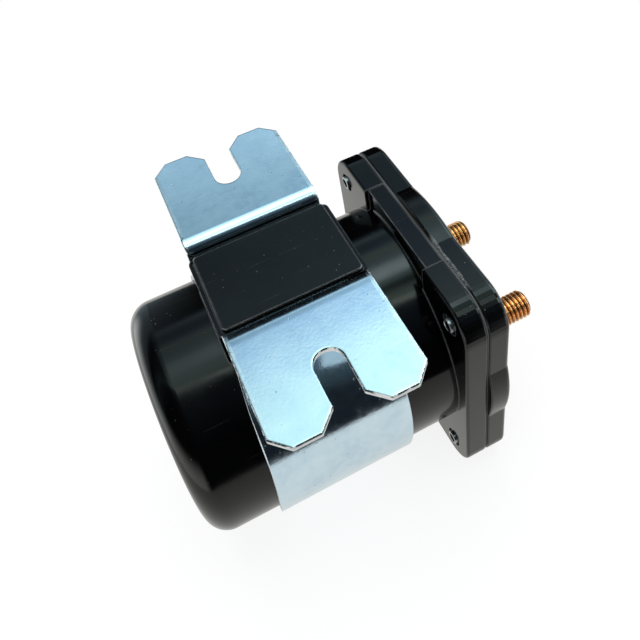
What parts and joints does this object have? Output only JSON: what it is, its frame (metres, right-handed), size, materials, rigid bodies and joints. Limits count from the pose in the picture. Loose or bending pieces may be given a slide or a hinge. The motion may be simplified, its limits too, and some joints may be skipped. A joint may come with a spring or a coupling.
{
  "type": "battery isolator relay",
  "caption": "Round moulded relay with a square terminal flange, two threaded copper studs and a folded bracket with slotted ears, for switching a battery's main cable.",
  "frame": {"origin": "bottom centre of the bounding box, straight below the main axis of the can", "axes": "+X along the can's main axis towards the tips of the studs, +Y from the near ear to the far ear, +Z out of the ears' mounting face"},
  "size_m": [0.1014, 0.0924, 0.081],
  "materials": {
    "housing_moulding": "glossy black moulding",
    "cover_moulding": "glossy black moulding",
    "pad_moulding": "satin black moulding",
    "zinc_plate": "pale blue zinc plate",
    "gasket_rubber": "matt",
    "seal_rubber": "matt",
    "screw_steel": "bright plated",
    "stud_copper": "bright copper",
    "contact_copper": "bright copper",
    "washer_brass": "satin brass",
    "nut_brass": "bright brass",
    "terminal_brass": "bright brass",
    "tube_brass": "drawn brass",
    "enamelled_wire": "enamelled copper wire",
    "magnet_steel": "soft magnetic steel",
    "plunger_steel": "ground steel",
    "spring_steel": "spring steel",
    "bobbin_plastic": "natural nylon",
    "bush_plastic": "insulating plastic",
    "insulating_sleeve": "pressed fibre"
  },
  "bodies": {
    "frame": {"housing": "housing_moulding", "top_pad": "pad_moulding", "mounting_bracket": "zinc_plate", "terminal_cover": "cover_moulding", "gasket": "gasket_rubber", "flange_screws": "screw_steel", "near_stud": "stud_copper", "far_stud": "stud_copper", "stud_seals": "seal_rubber", "stud_washers": "washer_brass", "stud_nuts": "nut_brass", "coil_terminals": "terminal_brass", "coil_terminal_nuts": "terminal_brass", "left_coil_lead": "enamelled_wire", "right_coil_lead": "enamelled_wire", "rear_cushion": "seal_rubber", "yoke_shell": "magnet_steel", "front_pole_plate": "magnet_steel", "pole_core": "magnet_steel", "guide_tube": "tube_brass", "coil_bobbin": "bobbin_plastic", "coil_winding": "enamelled_wire", "spacer_sleeve": "insulating_sleeve", "plunger_bumper": "seal_rubber", "return_spring": "spring_steel"},
    "plunger": {"plunger": "plunger_steel", "push_rod": "plunger_steel", "spring_collar": "plunger_steel", "rod_clip": "spring_steel", "contact_spring": "spring_steel"},
    "contact": {"contact_disc": "contact_copper", "rear_bush": "bush_plastic", "front_bush": "bush_plastic"}
  },
  "joints": [
    {"name": "plunger_slide", "type": "slide", "parent": "frame", "child": "plunger", "axis": [1, 0, 0], "range_m": [0, 0.0025], "stiffness_N_per_m": 1200, "springref_m": -0.004, "deforming": ["return_spring"]},
    {"name": "contact_slide", "type": "slide", "parent": "plunger", "child": "contact", "axis": [1, 0, 0], "range_m": [-0.0005, 0], "stiffness_N_per_m": 2500, "springref_m": 0.001, "deforming": ["contact_spring"]}
  ],
  "couplings": [
    {"joint": "contact_slide", "follows": "plunger_slide", "ratio": -0.2}
  ]
}
